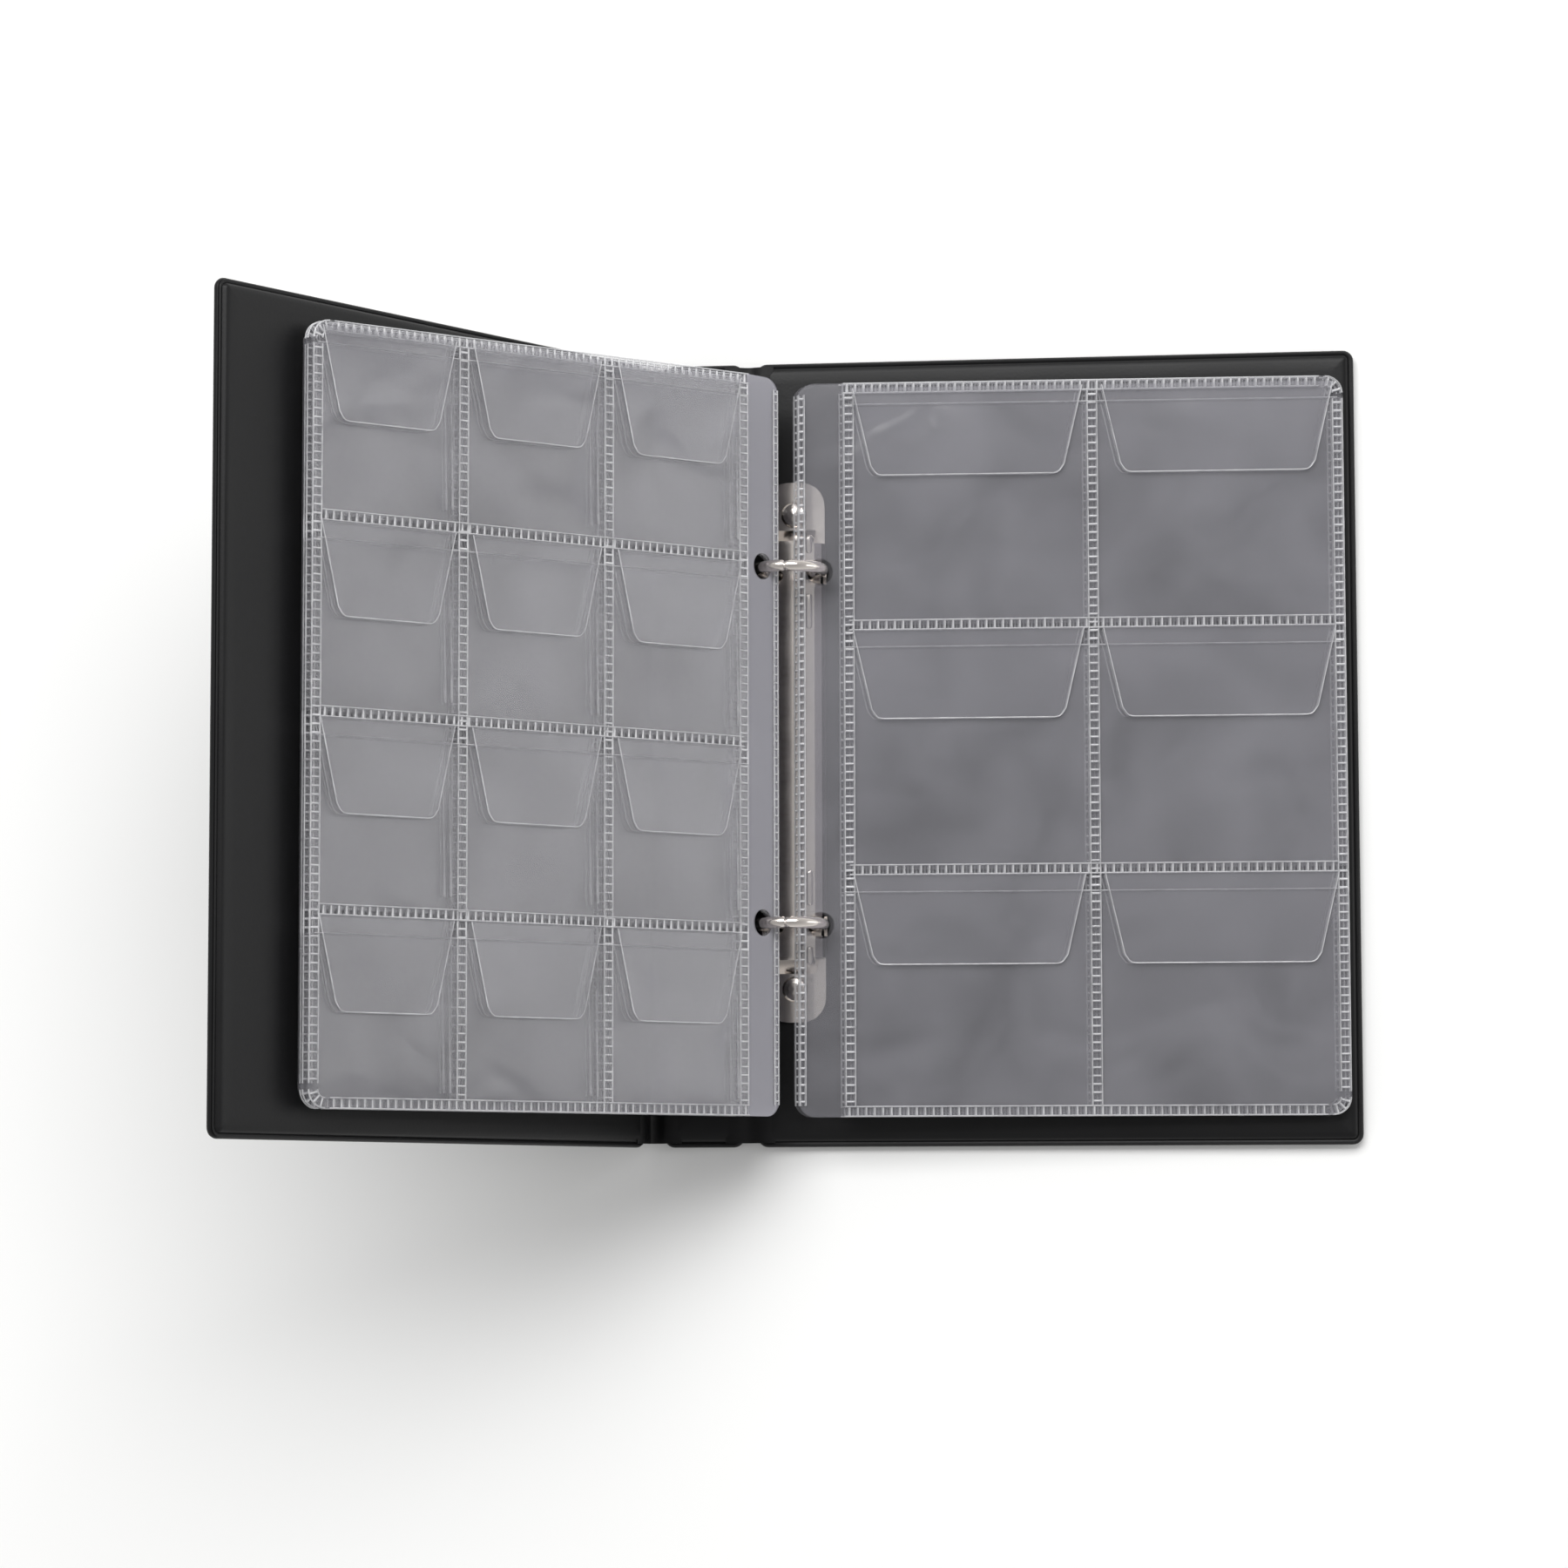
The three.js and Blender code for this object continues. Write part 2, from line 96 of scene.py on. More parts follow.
class Draft:
    """Gathers closed bodies for one mesh and turns them into a piece."""

    def __init__(self, place: Place = stay) -> None:
        """Starts an empty draft.

        Args:
            place: moves each point from where it is drawn to where it belongs.
        """
        self.place = place
        self.points: list[Point] = []
        self.faces: list[list[int]] = []

    def add(self, points: Iterable[Point]) -> list[int]:
        """Adds points to the mesh.

        Args:
            points: where they are drawn.

        Returns:
            Their numbers.
        """
        first = len(self.points)
        self.points.extend(self.place(*p) for p in points)
        return list(range(first, len(self.points)))

    def loft(self, sections: Sequence[Sequence[Point]]) -> None:
        """Joins closed sections of equal length into one capped body.

        Args:
            sections: outlines in order, each a list of points.
        """
        rows = [self.add(section) for section in sections]
        count = len(rows[0])
        for low, high in zip(rows, rows[1:]):
            for i in range(count):
                j = (i + 1) % count
                self.faces.append([low[i], low[j], high[j], high[i]])
        self.faces.append(rows[0][::-1])
        self.faces.append(rows[-1])

    def slab(self, us: Sequence[float], vs: Sequence[float], low: Place, thick: float) -> None:
        """Draws a thin wavy plate over a grid.

        Args:
            us: the grid's lines across.
            vs: the grid's lines along.
            low: gives the underside's point for a place on the grid.
            thick: the plate's thickness.
        """
        for layer in (0.0, thick):
            rows = [self.add([low(u, v, layer) for v in vs]) for u in us]
            for a, b in zip(rows, rows[1:]):
                for i in range(len(vs) - 1):
                    face = [a[i], a[i + 1], b[i + 1], b[i]]
                    self.faces.append(face if layer == 0.0 else face[::-1])
            if layer == 0.0:
                under = rows
        rim_low = self.rim(under)
        rim_high = self.rim(rows)
        for i in range(len(rim_low)):
            j = (i + 1) % len(rim_low)
            self.faces.append([rim_low[i], rim_high[i], rim_high[j], rim_low[j]])

    @staticmethod
    def rim(rows: list[list[int]]) -> list[int]:
        """Lists the numbers round a grid's edge."""
        return (rows[0] + [r[-1] for r in rows[1:]] + rows[-1][-2::-1]
                + [r[0] for r in rows[-2:0:-1]])

    def punched_plate(self, outline: list[Point], holes: list[list[Point]], thick: float) -> None:
        """Draws a flat plate with holes.

        Args:
            outline: its edge, drawn flat at the underside's height.
            holes: the edge of each hole, at the same height.
            thick: its thickness.
        """
        flat = bmesh.new()
        for loop in [outline, *holes]:
            corners = [flat.verts.new(p) for p in loop]
            for a, b in zip(corners, corners[1:] + corners[:1]):
                flat.edges.new((a, b))
        bmesh.ops.triangle_fill(flat, edges=flat.edges[:], use_beauty=True)
        flat.verts.index_update()
        low = self.add([tuple(v.co) for v in flat.verts])
        high = self.add([(v.co.x, v.co.y, v.co.z + thick) for v in flat.verts])
        for face in flat.faces:
            ids = [v.index for v in face.verts]
            self.faces.append([low[i] for i in ids])
            self.faces.append([high[i] for i in reversed(ids)])
        for edge in flat.edges:
            if len(edge.link_faces) == 1:
                a, b = (v.index for v in edge.verts)
                self.faces.append([low[a], low[b], high[b], high[a]])
        flat.free()

    def bar(self, start: Point, end: Point, width: float, rise: float) -> None:
        """Draws a low bead with a rounded top, from start to end in the page's plane.

        Args:
            start: the middle of its foot at one end.
            end: the middle of its foot at the other.
            width: its width.
            rise: its height.
        """
        run = Vector(end) - Vector(start)
        side = Vector((-run.y, run.x, 0)).normalized() * width / 2
        self.loft([[tuple(Vector(p) + side * s + Vector((0, 0, rise * h))) for s, h in BEAD]
                   for p in (start, end)])

    def build(self, name: str, material: bpy.types.Material, smooth: float = 40.0) -> bpy.types.Object:
        """Makes the piece.

        Args:
            name: the piece's name.
            material: its finish.
            smooth: edges sharper than this many degrees stay crisp.

        Returns:
            The new object, in metres.
        """
        mesh = bpy.data.meshes.new(name)
        mesh.from_pydata([[c * MM for c in p] for p in self.points], [], self.faces)
        tidy = bmesh.new()
        tidy.from_mesh(mesh)
        bmesh.ops.recalc_face_normals(tidy, faces=tidy.faces[:])
        tidy.to_mesh(mesh)
        tidy.free()
        mesh.polygons.foreach_set("use_smooth", [True] * len(mesh.polygons))
        mesh.set_sharp_from_angle(angle=math.radians(smooth))
        mesh.materials.append(material)
        piece = bpy.data.objects.new(name, mesh)
        bpy.context.scene.collection.objects.link(piece)
        return piece


def settle(piece: bpy.types.Object, body: str, slot: str, *nodes: str) -> None:
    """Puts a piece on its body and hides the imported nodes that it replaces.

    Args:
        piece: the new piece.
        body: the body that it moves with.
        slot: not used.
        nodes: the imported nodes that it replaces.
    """
    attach(piece, body)
    if nodes:
        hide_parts(*nodes)
    LOG.info("%s rides on %s, %d faces", piece.name, body, len(piece.data.polygons))


def steps(start: float, end: float, count: int) -> list[float]:
    """Divides a stretch into `count` equal parts, ends included."""
    return [start + (end - start) * i / count for i in range(count + 1)]


def rounded(x0: float, x1: float, y0: float, y1: float, radii: Sequence[float], z: float = 0.0,
            arc: int = 6) -> list[Point]:
    """Draws a rectangle with round corners.

    Args:
        x0, x1, y0, y1: its sides.
        radii: corner radii, anticlockwise from (x0, y0).
        z: its height.
        arc: steps in each corner.

    Returns:
        Its outline.
    """
    corners = ((x0, y0, 1, 1, 180), (x1, y0, -1, 1, 270), (x1, y1, -1, -1, 0), (x0, y1, 1, -1, 90))
    outline: list[Point] = []
    for (x, y, sx, sy, turn), r in zip(corners, radii):
        for a in steps(turn, turn + 90, arc):
            outline.append((x + sx * r + r * math.cos(math.radians(a)),
                            y + sy * r + r * math.sin(math.radians(a)), z))
    return outline


# ---- finishes ----
def linear(code: str) -> tuple[float, float, float, float]:
    """Turns an sRGB hex colour into linear light, by the sRGB standard's curve.

    Args:
        code: such as "#1b1b1b".

    Returns:
        Red, green, blue and an alpha of 1.
    """
    parts = [int(code[i:i + 2], 16) / 255 for i in (1, 3, 5)]
    return (*[c / 12.92 if c <= 0.04045 else ((c + 0.055) / 1.055) ** 2.4 for c in parts], 1.0)


def per_mm(size: float) -> float:
    """Gives the noise scale whose features are `size` millimetres wide."""
    return 1 / (size * MM)


def add_node(tree: bpy.types.NodeTree, kind: str, settings: dict | None = None,
             links: dict | None = None) -> bpy.types.Node:
    """Adds a node with its settings and links.

    Args:
        tree: the material's node tree.
        kind: the node's type.
        settings: values by input name or number, or else by property.
        links: output sockets by input name or number.

    Returns:
        The new node.
    """
    node = tree.nodes.new(kind)
    for key, value in (settings or {}).items():
        if isinstance(key, int) or key in node.inputs:
            node.inputs[key].default_value = value
        else:
            setattr(node, key, value)
    for key, source in (links or {}).items():
        tree.links.new(source, node.inputs[key])
    return node


def blank(name: str) -> tuple[bpy.types.Material, bpy.types.NodeTree]:
    """Starts an empty node material.

    Args:
        name: the finish's name.

    Returns:
        The material and its node tree.
    """
    material = bpy.data.materials.new(name)
    material.use_nodes = True
    material.node_tree.nodes.clear()
    return material, material.node_tree


@dataclass(frozen=True)
class CalenderedVinyl:
    """Plasticised PVC sheet, calendered and embossed with a fine leather grain.

    Reads as a near-black satin: broad soft highlights broken up by a grain too small to count.
    """

    name: str = "calendered_black_vinyl"
    colour: str = "#0e0e0f"
    worn: str = "#161617"
    roughness: float = 0.4
    specular: float = 0.2
    ior: float = 1.53
    grain: float = 0.7  # mm; the real grain is about half that, too fine to show
    grain_depth: float = 0.025
    mottle: float = 28.0  # mm, slow change in gloss from handling
    handling: float = 0.07  # how far the roughness swings with it

    def material(self) -> bpy.types.Material:
        """Makes the finish.

        Returns:
            The material.
        """
        material, tree = blank(self.name)
        where = add_node(tree, "ShaderNodeTexCoord").outputs["Object"]
        slow = add_node(tree, "ShaderNodeTexNoise", {"Scale": per_mm(self.mottle), "Detail": 3.0},
                        {"Vector": where}).outputs["Fac"]
        colour = add_node(tree, "ShaderNodeMix", {"data_type": "RGBA", COLOUR_A: linear(self.colour),
                                                  COLOUR_B: linear(self.worn)},
                          {0: slow}).outputs[COLOUR_OUT]
        rough = add_node(tree, "ShaderNodeMapRange", {"To Min": self.roughness - self.handling,
                                                      "To Max": self.roughness + self.handling},
                         {"Value": slow}).outputs[0]
        cells = add_node(tree, "ShaderNodeTexVoronoi", {"Scale": per_mm(self.grain)},
                         {"Vector": where}).outputs["Distance"]
        bump = add_node(tree, "ShaderNodeBump", {"Strength": 0.5, "Distance": self.grain_depth * MM},
                        {"Height": cells}).outputs[0]
        shader = add_node(tree, "ShaderNodeBsdfPrincipled",
                          {"IOR": self.ior, "Specular IOR Level": self.specular},
                          {"Base Color": colour, "Roughness": rough, "Normal": bump})
        add_node(tree, "ShaderNodeOutputMaterial", {}, {"Surface": shader.outputs[0]})
        return material


@dataclass(frozen=True)
class PressedGreyboard:
    """Recycled fibre board, pressed and raw, hidden between the vinyl sheets. Flat, dull and flecked."""

    name: str = "pressed_greyboard"
    colour: str = "#8d8a80"
    fleck: str = "#6d6a62"
    roughness: float = 0.9
    fibre: float = 1.5  # mm

    def material(self) -> bpy.types.Material:
        """Makes the finish.

        Returns:
            The material.
        """
        material, tree = blank(self.name)
        where = add_node(tree, "ShaderNodeTexCoord").outputs["Object"]
        fibres = add_node(tree, "ShaderNodeTexNoise", {"Scale": per_mm(self.fibre), "Detail": 6.0},
                          {"Vector": where}).outputs["Fac"]
        colour = add_node(tree, "ShaderNodeMix", {"data_type": "RGBA", COLOUR_A: linear(self.colour),
                                                  COLOUR_B: linear(self.fleck)},
                          {0: fibres}).outputs[COLOUR_OUT]
        shader = add_node(tree, "ShaderNodeBsdfPrincipled", {"Roughness": self.roughness},
                          {"Base Color": colour})
        add_node(tree, "ShaderNodeOutputMaterial", {}, {"Surface": shader.outputs[0]})
        return material


@dataclass(frozen=True)
class BrightNickel:
    """Bright nickel plate on formed steel.

    Mirrors the room with a warm, faintly pink cast; handling leaves soft smears in the gloss.
    """

    name: str = "bright_nickel_plate"
    colour: str = "#dcd5cf"
    roughness: float = 0.16
    smear: float = 6.0  # mm
    smear_gloss: tuple[float, float] = (-0.06, 0.08)  # what clean and smeared places add to it
    ripple: float = 9.0  # mm, the strip's slight unevenness from forming
    ripple_depth: float = 0.06

    def material(self) -> bpy.types.Material:
        """Makes the finish.

        Returns:
            The material.
        """
        material, tree = blank(self.name)
        where = add_node(tree, "ShaderNodeTexCoord").outputs["Object"]
        smear = add_node(tree, "ShaderNodeTexNoise", {"Scale": per_mm(self.smear), "Detail": 4.0},
                         {"Vector": where}).outputs["Fac"]
        rough = add_node(tree, "ShaderNodeMapRange", {"To Min": self.roughness + self.smear_gloss[0],
                                                      "To Max": self.roughness + self.smear_gloss[1]},
                         {"Value": smear}).outputs[0]
        waves = add_node(tree, "ShaderNodeTexNoise", {"Scale": per_mm(self.ripple)},
                         {"Vector": where}).outputs["Fac"]
        bump = add_node(tree, "ShaderNodeBump", {"Strength": 0.5, "Distance": self.ripple_depth * MM},
                        {"Height": waves}).outputs[0]
        shader = add_node(tree, "ShaderNodeBsdfPrincipled",
                          {"Base Color": linear(self.colour), "Metallic": 1.0},
                          {"Roughness": rough, "Normal": bump})
        add_node(tree, "ShaderNodeOutputMaterial", {}, {"Surface": shader.outputs[0]})
        return material


@dataclass(frozen=True)
class ClearVinylFilm:
    """Clear soft PVC film, calendered, with the plasticiser's slight haze.

    Each layer veils what lies behind it in pale violet grey, partly the film's own haze and partly painted
    reflection of the bright room, whiter in painted sheen patches, under a glossy surface with faint
    ripples.
    """

    name: str
    colour: str = "#d6d5dc"
    haze_and_sheen: float = 0.016  # share of light that one face scatters: partly the film's haze, partly painted reflection of the room
    sheen_swing: float = 0.95  # how far the painted sheen swings the haze from patch to patch
    sheen_band: tuple[float, float] = (0.3, 0.7)  # noise levels of the clearest patch and of the brightest painted sheen patch
    patch: float = 26.0  # mm
    ripple: float = 9.0  # mm
    ripple_depth: float = 0.03
    pucker: float = 17.0  # mm, broad slack waves in the unsupported film
    pucker_depth: float = 0.9
    roughness: float = 0.14
    skin_roughness: float = 0.06  # of the sharper gloss on top
    ior: float = 1.53

    def material(self) -> bpy.types.Material:
        """Makes the finish.

        Returns:
            The material.
        """
        material, tree = blank(self.name)
        where = add_node(tree, "ShaderNodeTexCoord").outputs["Object"]
        # painted sheen: noise patches that make the film whiter here and clearer there, in place of its
        # changing reflections
        sheen_patches = add_node(tree, "ShaderNodeTexNoise", {"Scale": per_mm(self.patch), "Detail": 3.0,
                                                       "Distortion": 0.6}, {"Vector": where})
        swing = self.haze_and_sheen * self.sheen_swing
        veil = add_node(tree, "ShaderNodeMapRange",
                        {"From Min": self.sheen_band[0], "From Max": self.sheen_band[1],
                         "To Min": self.haze_and_sheen - swing, "To Max": self.haze_and_sheen + swing},
                        {"Value": sheen_patches.outputs["Fac"]}).outputs[0]
        ripples = add_node(tree, "ShaderNodeTexNoise", {"Scale": per_mm(self.ripple), "Detail": 2.0},
                           {"Vector": where}).outputs["Fac"]
        slack = add_node(tree, "ShaderNodeTexNoise", {"Scale": per_mm(self.pucker), "Detail": 1.0,
                                                      "Distortion": 0.8}, {"Vector": where})
        broad = add_node(tree, "ShaderNodeBump", {"Strength": 0.5, "Distance": self.pucker_depth * MM},
                         {"Height": slack.outputs["Fac"]}).outputs[0]
        bump = add_node(tree, "ShaderNodeBump", {"Strength": 0.4, "Distance": self.ripple_depth * MM},
                        {"Height": ripples, "Normal": broad}).outputs[0]
        mirror = add_node(tree, "ShaderNodeFresnel", {"IOR": self.ior}, {"Normal": bump}).outputs[0]
        share = add_node(tree, "ShaderNodeMath", {"operation": "ADD", "use_clamp": True},
                         {0: veil, 1: mirror}).outputs[0]
        clear = add_node(tree, "ShaderNodeBsdfTransparent").outputs[0]
        shader = add_node(tree, "ShaderNodeBsdfPrincipled",
                          {"Base Color": linear(self.colour), "Roughness": self.roughness,
                           "IOR": self.ior, "Specular IOR Level": 1.0, "Coat Weight": 1.0,
                           "Coat Roughness": self.skin_roughness}, {"Normal": bump}).outputs[0]
        mixed = add_node(tree, "ShaderNodeMixShader", {}, {0: share, 1: clear, 2: shader})
        add_node(tree, "ShaderNodeOutputMaterial", {}, {"Surface": mixed.outputs[0]})
        return material


# ---- covers ----
class Panel(Enum):
    """The album's three stiff panels."""

    BACK = "back_cover"
    SPINE = "spine"
    FRONT = "front_cover"


@dataclass
class Covers:
    """Outer skin, boards and lining of the three panels, with the soft vinyl at both hinges."""

    vinyl: bpy.types.Material
    board: bpy.types.Material
    lift: float = 57.6  # degrees the front cover stands up
    half_height: float = 89.45
    cover_width: float = 135.8
    hinge_gap: float = 3.0
    corner: float = 2.4
    least_corner: float = 0.3
    # (inset from the edge, height) of the outer sheet, from its flat face round to the weld
    skin_profile: tuple[tuple[float, float], ...] = (
        (2.2, 0.0), (1.3, 0.05), (0.6, 0.24), (0.18, 0.6), (0.0, 1.05), (0.03, 1.45), (0.2, 1.75),
        (0.5, 1.86), (1.45, 1.86), (1.45, 0.6))
    # the same for the lining: the flat welded border, the groove beside it, the padded edge
    liner_profile: tuple[tuple[float, float], ...] = (
        (0.5, 1.9), (0.32, 2.05), (0.42, 2.18), (0.95, 2.2), (1.12, 2.08), (1.26, 2.25), (1.4, 2.62),
        (1.85, 2.95), (2.8, 3.13), (5.0, 3.2))
    liner_under: tuple[tuple[float, float], ...] = ((5.0, 2.72), (1.7, 2.55), (1.36, 2.42), (1.2, 1.95))
    # (distance from the hinge line, height) across half the hinge vinyl, over and under
    hinge_top: tuple[tuple[float, float], ...] = (
        (5.6, 3.0), (4.6, 3.19), (3.4, 3.2), (2.2, 3.08), (1.3, 2.75), (0.5, 2.52), (0.0, 2.5))
    hinge_under: tuple[tuple[float, float], ...] = (
        (0.0, 1.5), (0.6, 1.42), (1.25, 1.2), (1.4, 2.3), (3.0, 2.4), (5.6, 2.7))
    hinge_end: float = 0.9
    hinge_steps: int = 60

    def __post_init__(self) -> None:
        """Finds the panels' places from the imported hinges."""
        spine_joint = joint_centre("spine_hinge")
        self.front_pivot = joint_centre("front_cover_fold")
        back = spine_joint.x + self.hinge_gap / 2
        self.spans = {
            Panel.BACK: (back, back + self.cover_width),
            Panel.SPINE: (self.front_pivot.x + self.hinge_gap, spine_joint.x - self.hinge_gap / 2),
            Panel.FRONT: (self.front_pivot.x - self.cover_width, self.front_pivot.x),
        }

    def raised(self, share: float = 1.0) -> Place:
        """Gives the turn about the front hinge that stands the front cover up.

        Args:
            share: how much of the full turn.

        Returns:
            A function that moves a point drawn flat.
        """
        turn = math.radians(self.lift * share)
        px, pz = self.front_pivot.x, self.front_pivot.z

        def place(x: float, y: float, z: float) -> Point:
            """Turns one point about the hinge.

            Args:
                x, y, z: the point, drawn flat.

            Returns:
                Where it stands.
            """
            dx, dz = x - px, z - pz
            return (px + dx * math.cos(turn) + dz * math.sin(turn), y,
                    pz - dx * math.sin(turn) + dz * math.cos(turn))

        return place

    def shell(self, panel: Panel, profile: Sequence[tuple[float, float]]) -> Draft:
        """Lofts a panel's padded sheet from its edge profile.

        Args:
            panel: the panel.
            profile: (inset from the edge, height) from one face round to the other.

        Returns:
            The sheet, ready to build.
        """
        x0, x1 = self.spans[panel]
        draft = Draft(self.raised() if panel is Panel.FRONT else stay)
        sections = []
        for inset, z in profile:
            r = max(self.corner - inset, self.least_corner)
            sections.append(rounded(x0 + inset, x1 - inset, -self.half_height + inset,
                                    self.half_height - inset, [r] * 4, z))
        draft.loft(sections)
        return draft

    def build_panel(self, panel: Panel) -> None:
        """Builds one panel's skin and lining, and dresses its board.

        Args:
            panel: the panel.
        """
        name = panel.value
        skin = self.shell(panel, self.skin_profile).build(f"{name}_skin", self.vinyl)
        settle(skin, name, "black_vinyl", f"{name}_outer_skin")
        liner = self.shell(panel, self.liner_under + self.liner_profile).build(f"{name}_liner", self.vinyl)
        settle(liner, name, "black_vinyl", f"{name}_lining")
        dress(f"{name}_board", self.board)

    def build_hinge(self, name: str, line: float, node: str) -> bpy.types.Object:
        """Builds the soft vinyl strip at a hinge.

        Args:
            name: the piece's name.
            line: X of the middle of the hinge.
            node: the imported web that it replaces.

        Returns:
            The strip, which still needs its two bodies.
        """
        top = [(-d, z) for d, z in self.hinge_top] + [(d, z) for d, z in self.hinge_top[-2::-1]]
        under = [(d, z) for d, z in self.hinge_under[::-1]] + [(-d, z) for d, z in self.hinge_under[1:]]
        section = [(line + d, z) for d, z in top + under]
        front = line < self.spans[Panel.SPINE][0]
        draft = Draft()
        end = self.half_height - self.hinge_end
        sections = []
        for y in steps(-end, end, self.hinge_steps):
            row = []
            for x, z in section:
                share = (self.front_pivot.x + self.hinge_gap - x) / self.hinge_gap
                share = min(max(share, 0.0), 1.0)
                eased = share * share * (3 - 2 * share)  # so that it leaves both panels flat
                turned = self.raised(eased) if front else stay
                row.append(turned(x, y, z))
            sections.append(row)
        draft.loft(sections)
        strip = draft.build(name, self.vinyl, SOFT_EDGE)
        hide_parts(node)
        return strip

    def build(self) -> None:
        """Builds the panels and both hinges."""
        for panel in Panel:
            self.build_panel(panel)
        half = self.hinge_gap / 2
        back = self.build_hinge("back_hinge_vinyl", self.spans[Panel.BACK][0] - half, "back_hinge_web")
        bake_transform(back)
        front = self.build_hinge("front_hinge_vinyl", self.front_pivot.x + half, "front_hinge_web")
        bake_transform(front)
        LOG.info("back_hinge_vinyl and front_hinge_vinyl bend across their hinges")


def dress(node: str, material: bpy.types.Material, bevel: float = 0.0) -> None:
    """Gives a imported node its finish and, where asked, softened edges.

    Args:
        node: the node's name.
        material: its finish.
        bevel: width of the rounded edge in millimetres.
    """
    piece = frame["nodes"][node]
    piece.data.materials.clear()
    piece.data.materials.append(material)
    if bevel:
        weld = piece.modifiers.new("weld", "WELD")
        weld.merge_threshold = SPLIT_CORNER * MM
        edge = piece.modifiers.new("edge", "BEVEL")
        edge.width = bevel * MM
        edge.segments = 2
        edge.limit_method = "ANGLE"
        edge.angle_limit = math.radians(STEEL_EDGE)
        edge.harden_normals = False
    LOG.info("%s dressed in %s", node, material.name)


# ---- ring mechanism ----
@dataclass
class RingMechanism:
    """Two snap rings on a riveted steel housing with pressed beads."""

    nickel: bpy.types.Material
    ring_radius: float = 7.6
    wire: float = 1.3
    spacing: float = 80.0
    seam: float = 1.2  # degrees from the crown to each tip
    round_end: float = -50.0
    foot_x: float = 3.6
    foot_z: float = 6.1
    wire_sides: int = 20
    arc_steps: int = 44
    tongue: float = 0.55  # radius of the pin that keys one tip into the other
    tongue_reach: float = 1.5
    tongue_straight: float = 0.8  # share of its reach before it tapers
    tongue_tip: float = 0.6  # share of its radius left at the tip
    tip_shares: tuple[float, float] = (0.86, 0.97)  # of the wire's radius, on the way out to its tip
    foot_rise: float = 0.9  # the housing's lugs stand this far under the arch's foot
    arch: float = 0.55  # share of its rise that the arch falls to its sides
    bead_x: float = 4.0
    bead_width: float = 1.9
    # (inset from the bead's edge, height over the arch) from its sunk foot to its crown
    bead_profile: tuple[tuple[float, float], ...] = (
        (0.0, -0.35), (0.02, 0.1), (0.12, 0.3), (0.34, 0.44), (0.6, 0.5))
    least_corner: float = 0.1
    bead_start: float = 4.4  # from the ring's line to the near end of each bead
    short_bead: float = 4.4
    long_bead: float = 8.4
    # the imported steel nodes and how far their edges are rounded
    bevels: tuple[tuple[str, float], ...] = (
        ("ring_housing", 0.12), ("left_blade", 0.1), ("right_blade", 0.1), ("rivet_upper", 0.15),
        ("rivet_lower", 0.15))

    def __post_init__(self) -> None:
        """Finds the ring axis from the joint that the pages turn about."""
        self.centre = joint_centre("left_sheet_1_turn")

    def wire_path(self, side: int, y: float) -> list[Vector]:
        """Lists the points along one half ring, from its tip to its foot.

        Args:
            side: -1 for the left half, 1 for the right.
            y: the ring's place along the housing.

        Returns:
            The wire's centre line.
        """
        line = []
        for a in steps(90 - self.seam, self.round_end, self.arc_steps):
            line.append(Vector((self.centre.x + side * self.ring_radius * math.cos(math.radians(a)), y,
                                self.centre.z + self.ring_radius * math.sin(math.radians(a)))))
        line.append(Vector((self.centre.x + side * self.foot_x, y, self.foot_z)))
        return line

    def tube(self, draft: Draft, line: Sequence[Vector], radii: Sequence[float]) -> None:
        """Sweeps a round wire along a line that lies in a plane of constant Y.

        Args:
            draft: the mesh being drawn.
            line: the wire's centre line.
            radii: its radius at each of those points.
        """
        sections = []
        for i, p in enumerate(line):
            run = (line[min(i + 1, len(line) - 1)] - line[max(i - 1, 0)]).normalized()
            across = run.cross(Vector((0, 1, 0)))
            ring = []
            for k in range(self.wire_sides):
                a = 2 * math.pi * k / self.wire_sides
                spoke = across * math.cos(a) + Vector((0, 1, 0)) * math.sin(a)
                ring.append(tuple(p + spoke * radii[i]))
            sections.append(ring)
        draft.loft(sections)

    def build_half(self, side: int, y: float) -> None:
        """Builds one half ring with a softened tip, and the left halves' keying tongue.

        Args:
            side: -1 for the left half, 1 for the right.
            y: the ring's place along the housing.
        """
        hand, level = ("left" if side < 0 else "right"), ("upper" if y > 0 else "lower")
        draft = Draft()
        line = self.wire_path(side, y)
        radii = [self.wire * share for share in self.tip_shares]
        radii += [self.wire] * (len(line) - len(radii))
        self.tube(draft, line, radii)
        if side < 0:
            tip = line[0]
            reach = Vector((self.tongue_reach, 0, 0))
            self.tube(draft, [tip - reach, tip + reach * self.tongue_straight, tip + reach],
                      [self.tongue, self.tongue, self.tongue * self.tongue_tip])
        piece = draft.build(f"{hand}_ring_wire_{level}", self.nickel)
        settle(piece, f"{hand}_ring_side", "nickel_steel", f"{hand}_half_ring_{level}")

    def housing_top(self, x: float) -> tuple[float, float]:
        """Gives the housing's height and slope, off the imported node.

        Args:
            x: distance from the housing's axis.

        Returns:
            The height there and its slope across.
        """
        low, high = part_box("ring_housing")
        half, top = (high.x - low.x) / 2 / MM, high.z / MM
        drop = (top - low.z / MM - self.foot_rise) * self.arch
        return top - drop * (x / half) ** 2, -2 * drop * x / half ** 2

    def build_beads(self) -> None:
        """Builds the stiffening beads pressed up beside each ring."""
        draft = Draft()
        for ring_y in (-self.spacing / 2, self.spacing / 2):
            outward = math.copysign(1, ring_y)
            for direction, length in ((outward, self.short_bead), (-outward, self.long_bead)):
                start = ring_y + direction * self.bead_start
                for x in (-self.bead_x, self.bead_x):
                    self.bead(draft, x, start, start + direction * length)
        piece = draft.build("housing_beads", self.nickel, SOFT_EDGE)
        settle(piece, "back_cover", "nickel_steel")

